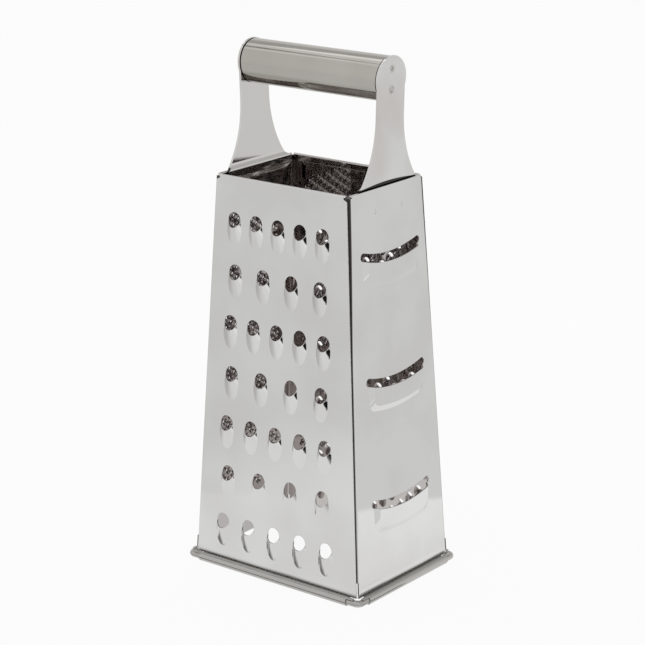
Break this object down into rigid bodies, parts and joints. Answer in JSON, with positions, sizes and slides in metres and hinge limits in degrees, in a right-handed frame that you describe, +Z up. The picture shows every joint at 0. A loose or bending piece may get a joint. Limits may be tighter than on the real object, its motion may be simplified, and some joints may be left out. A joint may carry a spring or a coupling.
{
  "type": "box grater",
  "caption": "Tapered kitchen box grater of pressed steel sheet with shredding, slicing and rasping sides, a wired foot rim and a tube handle on flared legs.",
  "frame": {"origin": "on the floor, under the middle of the body's foot", "axes": "+Z up, X along the handle and across the coarse shredding side, which faces -Y; the slicing side faces +X"},
  "size_m": [0.1018, 0.0754, 0.2391],
  "materials": {
    "panel_sheet": "bright stainless sheet, half polished",
    "foot_wire": "drawn stainless wire",
    "leg_sheet": "satin stainless sheet",
    "grip_tube": "polished stainless tube",
    "end_cup": "bright stainless sheet"
  },
  "bodies": {
    "root": {"front_panel": "panel_sheet", "right_panel": "panel_sheet", "back_panel": "panel_sheet", "left_panel": "panel_sheet", "base_wire": "foot_wire", "left_leg": "leg_sheet", "right_leg": "leg_sheet", "handle_tube": "grip_tube", "left_end_cup": "end_cup", "right_end_cup": "end_cup"}
  },
  "joints": []
}
